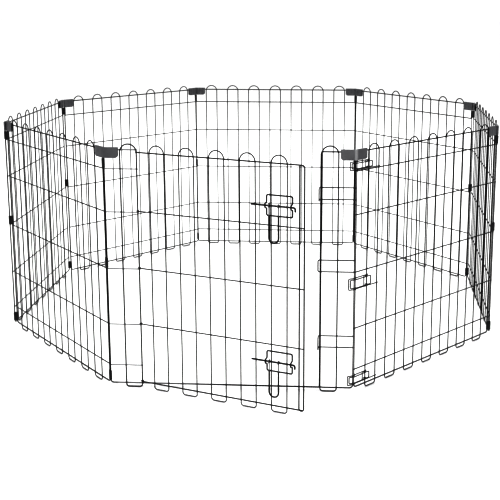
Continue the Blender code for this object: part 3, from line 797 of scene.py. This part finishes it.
def sleeve(low, high):
    shape = Shape()
    hole, wall, ease = mm(2.5, 0.8, 0.4)
    # thickness outside the hole, and height, once round the section with eased edges
    section = [(0.0, low + ease), (0.0, high - ease), (ease * 0.5, high - ease * 0.15),
               (wall * 0.5, high), (wall - ease * 0.5, high - ease * 0.15),
               (wall, high - ease), (wall, low + ease), (wall - ease * 0.5, low + ease * 0.15),
               (wall * 0.5, low), (ease * 0.5, low + ease * 0.15)]
    rings = [[(x, y, z) for x, y in sleeve_ring(hole + extra)] for extra, z in section]
    count, size = len(rings), len(rings[0])
    faces = [face for i in range(count) for face in band(i, (i + 1) % count, size)]
    shape.take([v for ring in rings for v in ring], faces)
    # the lapped edge of the sheet, a thin upright bar on the +Y side
    x0, x1 = GAP * 0.5 - 0.25 * MM, GAP * 0.5 + 0.25 * MM
    y0 = hole + wall - 0.78 * MM
    y1 = y0 + 0.35 * MM
    shape.take([(x, y, z) for z in (low + ease, high - ease)
                for x, y in ((x0, y0), (x1, y0), (x1, y1), (x0, y1))],
               [(0, 1, 2, 3), (4, 5, 6, 7), *band(0, 1, 4)])
    return shape


for i in range(1, 8):
    first, second = POSTS[i - 1][0], POSTS[i][1]
    across = math.degrees(math.atan2(second.y - first.y, second.x - first.x))
    body = "gate" if i == 1 else "wing_%d" % (i - 1)
    for name, low, high in SLEEVES:
        sleeve(low, high).build("crimped_sleeve_%d_%s" % (i, name), at(first, across), SHEET,
                                body, "fittings", replaced="hinge_sleeve_%d_%s" % (i, name))


# ------------------------------------------------------------------ moulded corner leaves
# Leaf frame: Z axis on the post, X along the panel away from it.
def extruded(bm, outline, move):
    face = bm.faces.new([bm.verts.new(point) for point in outline])
    raised = bmesh.ops.extrude_face_region(bm, geom=[face])
    verts = [v for v in raised["geom"] if isinstance(v, bmesh.types.BMVert)]
    bmesh.ops.translate(bm, verts=verts, vec=move)


def prism(bm, outline, low, high):
    extruded(bm, [(x, y, low) for x, y in outline], (0, 0, high - low))


def solid(name, draw):
    mesh = bpy.data.meshes.new(name)
    bm = bmesh.new()
    draw(bm)
    bmesh.ops.recalc_face_normals(bm, faces=bm.faces)
    bm.to_mesh(mesh)
    bm.free()
    return linked(name, mesh)


def leaf_shell(bm):
    """The outer block: half round at the post, with eased top edges."""
    r = 1.4 * MM
    outline = arc(0, 0, LEAF_HALF, 90, 270, 18)
    outline += arc(LEAF_LENGTH - r, -LEAF_HALF + r, r, -90, 0, 4)
    outline += arc(LEAF_LENGTH - r, LEAF_HALF - r, r, 0, 90, 4)
    prism(bm, outline, LEAF_LOW, LEAF_TOP)
    top_edges = [e for e in bm.edges if abs(e.verts[0].co.z - e.verts[1].co.z) < 1e-7
                 and e.verts[0].co.z > LEAF_TOP - 1e-5]
    bmesh.ops.bevel(bm, geom=top_edges, offset=1.1 * MM, segments=4, profile=0.5,
                    affect="EDGES")


def leaf_slot(bm):
    """The room for post and rail, open below and at the far end."""
    far = LEAF_LENGTH + 5 * MM
    outline = arc(0, 0, LEAF_SLOT, 90, 270, 12) + [(far, -LEAF_SLOT), (far, LEAF_SLOT)]
    prism(bm, outline, LEAF_LOW - 5 * MM, SLOT_TOP)


def leaf_corner(bm):
    """Cuts the lower far corner to a quarter round."""
    r, spare = mm(8, 4)
    outline = arc(LEAF_LENGTH - r, LEAF_LOW + r, r, -90, 0, 10)
    outline += [(LEAF_LENGTH + spare, LEAF_LOW + r), (LEAF_LENGTH + spare, LEAF_LOW - spare),
                (LEAF_LENGTH - r, LEAF_LOW - spare)]
    extruded(bm, [(x, -8 * MM, z) for x, z in outline], (0, 16 * MM, 0))


def rib_mesh(x, side):
    """An upright rib at x, tapering outwards; side is the sign of its Y."""
    wide, tall = mm(0.85, 0.6)
    y0, y1 = side * (LEAF_HALF - 0.3 * MM), side * (LEAF_HALF + tall)
    outline = [(x - wide, y0), (x + wide, y0), (x + wide * 0.55, y1), (x - wide * 0.55, y1)]
    if side < 0:
        outline.reverse()
    bm = bmesh.new()
    prism(bm, outline, LEAF_LOW + 1.6 * MM, LEAF_TOP - 1.4 * MM)
    mesh = bpy.data.meshes.new("rib")
    bm.to_mesh(mesh)
    bm.free()
    return mesh


def leaf_mesh(rib_side):
    """One leaf: a U over the top rail, with two ribs on one side."""
    body = solid("leaf_shell", leaf_shell)
    cutters = [solid("leaf_slot", leaf_slot), solid("leaf_corner", leaf_corner)]
    for cutter in cutters:
        cut = body.modifiers.new("cut", "BOOLEAN")
        cut.operation = "DIFFERENCE"
        cut.solver = "EXACT"
        cut.object = cutter
    bpy.context.view_layer.update()
    evaluated = body.evaluated_get(bpy.context.evaluated_depsgraph_get())
    mesh = bpy.data.meshes.new_from_object(evaluated)
    for spent in (body, *cutters):
        bpy.data.objects.remove(spent, do_unlink=True)

    bm = bmesh.new()
    bm.from_mesh(mesh)
    for x in mm(15, 27.5):
        rib = rib_mesh(x, rib_side)
        bm.from_mesh(rib)
        bpy.data.meshes.remove(rib)
    bmesh.ops.recalc_face_normals(bm, faces=bm.faces)
    bm.to_mesh(mesh)
    bm.free()
    return mesh


# by the side of the ribs, which face the inside of the pen
LEAF = {1: leaf_mesh(1), -1: leaf_mesh(-1)}


def leaves(index, body, left_name, right_name):
    """The leaves over the left and right ends of a panel."""
    left, right = POSTS[index]
    for name, post, turn, side in ((left_name, left, 0, 1), (right_name, right, 180, -1)):
        mesh = LEAF[side].copy()
        mesh.transform(at(post, TURNED[index] + turn))
        finish_mesh(mesh, HIGHLIT_LEAF_LOOKS.get(name, PLASTIC), sharp=32)
        put("moulded_" + name, mesh, body, replaced=name)


leaves(0, "gate", "corner_1_leaf_a", "corner_8_leaf_b")
for i in range(1, 8):
    leaves(i, "wing_%d" % i, "corner_%d_leaf_a" % (i + 1), "corner_%d_leaf_b" % i)
for mesh in LEAF.values():
    bpy.data.meshes.remove(mesh)

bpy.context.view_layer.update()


# ------------------------------------------------------------------ floor, light, camera
def add_floor():
    bpy.ops.mesh.primitive_plane_add(size=60, location=(0, 0, -0.5 * MM))
    floor = bpy.context.object
    floor.name = "floor"
    floor.data.materials.append(studio_floor().material)


def add_world():
    world = bpy.data.worlds.new("studio")
    bpy.context.scene.world = world
    world.use_nodes = True
    background = world.node_tree.nodes["Background"]
    background.inputs["Color"].default_value = (1.0, 1.0, 1.0, 1.0)
    background.inputs["Strength"].default_value = 1.12


def soft_light(name, place, aim, size, power):
    data = bpy.data.lights.new(name, "AREA")
    data.shape = "DISK"
    data.size = size
    data.energy = power
    light = linked(name, data)
    light.location = place
    light.rotation_euler = (Vector(aim) - Vector(place)).to_track_quat("-Z", "Y").to_euler()


def add_camera(place, yaw, pitch, lens, shift):
    """place is measured from the middle of the front panel, angles are in degrees."""
    data = bpy.data.cameras.new("photo_view")
    data.sensor_width = 36.0
    data.lens = lens
    data.shift_x, data.shift_y = shift
    data.clip_end = 200.0
    camera = linked("photo_view", data)
    yaw, pitch = math.radians(yaw), math.radians(pitch)
    forward = Vector((math.sin(yaw) * math.cos(pitch), math.cos(yaw) * math.cos(pitch),
                      -math.sin(pitch)))
    camera.location = SHIFT @ Vector(place)
    camera.rotation_euler = forward.to_track_quat("-Z", "Y").to_euler()
    bpy.context.scene.camera = camera


add_floor()
add_world()
soft_light("key", place=(-2.6, -3.4, 4.2), aim=(0, 0, 0.3), size=2.6, power=150)
soft_light("fill", place=(3.6, -2.4, 3.0), aim=(0, 0, 0.3), size=3.0, power=70)
soft_light("rim", place=(0.5, 4.2, 3.6), aim=(0, 0, 0.4), size=2.5, power=90)
add_camera(place=(0.2933, -2.5454, 0.9826), yaw=-3.884, pitch=12.244, lens=78.192,
           shift=(-0.0582, -0.0572))
bpy.context.scene.view_settings.view_transform = "Standard"
bpy.context.scene.view_settings.gamma = 0.52
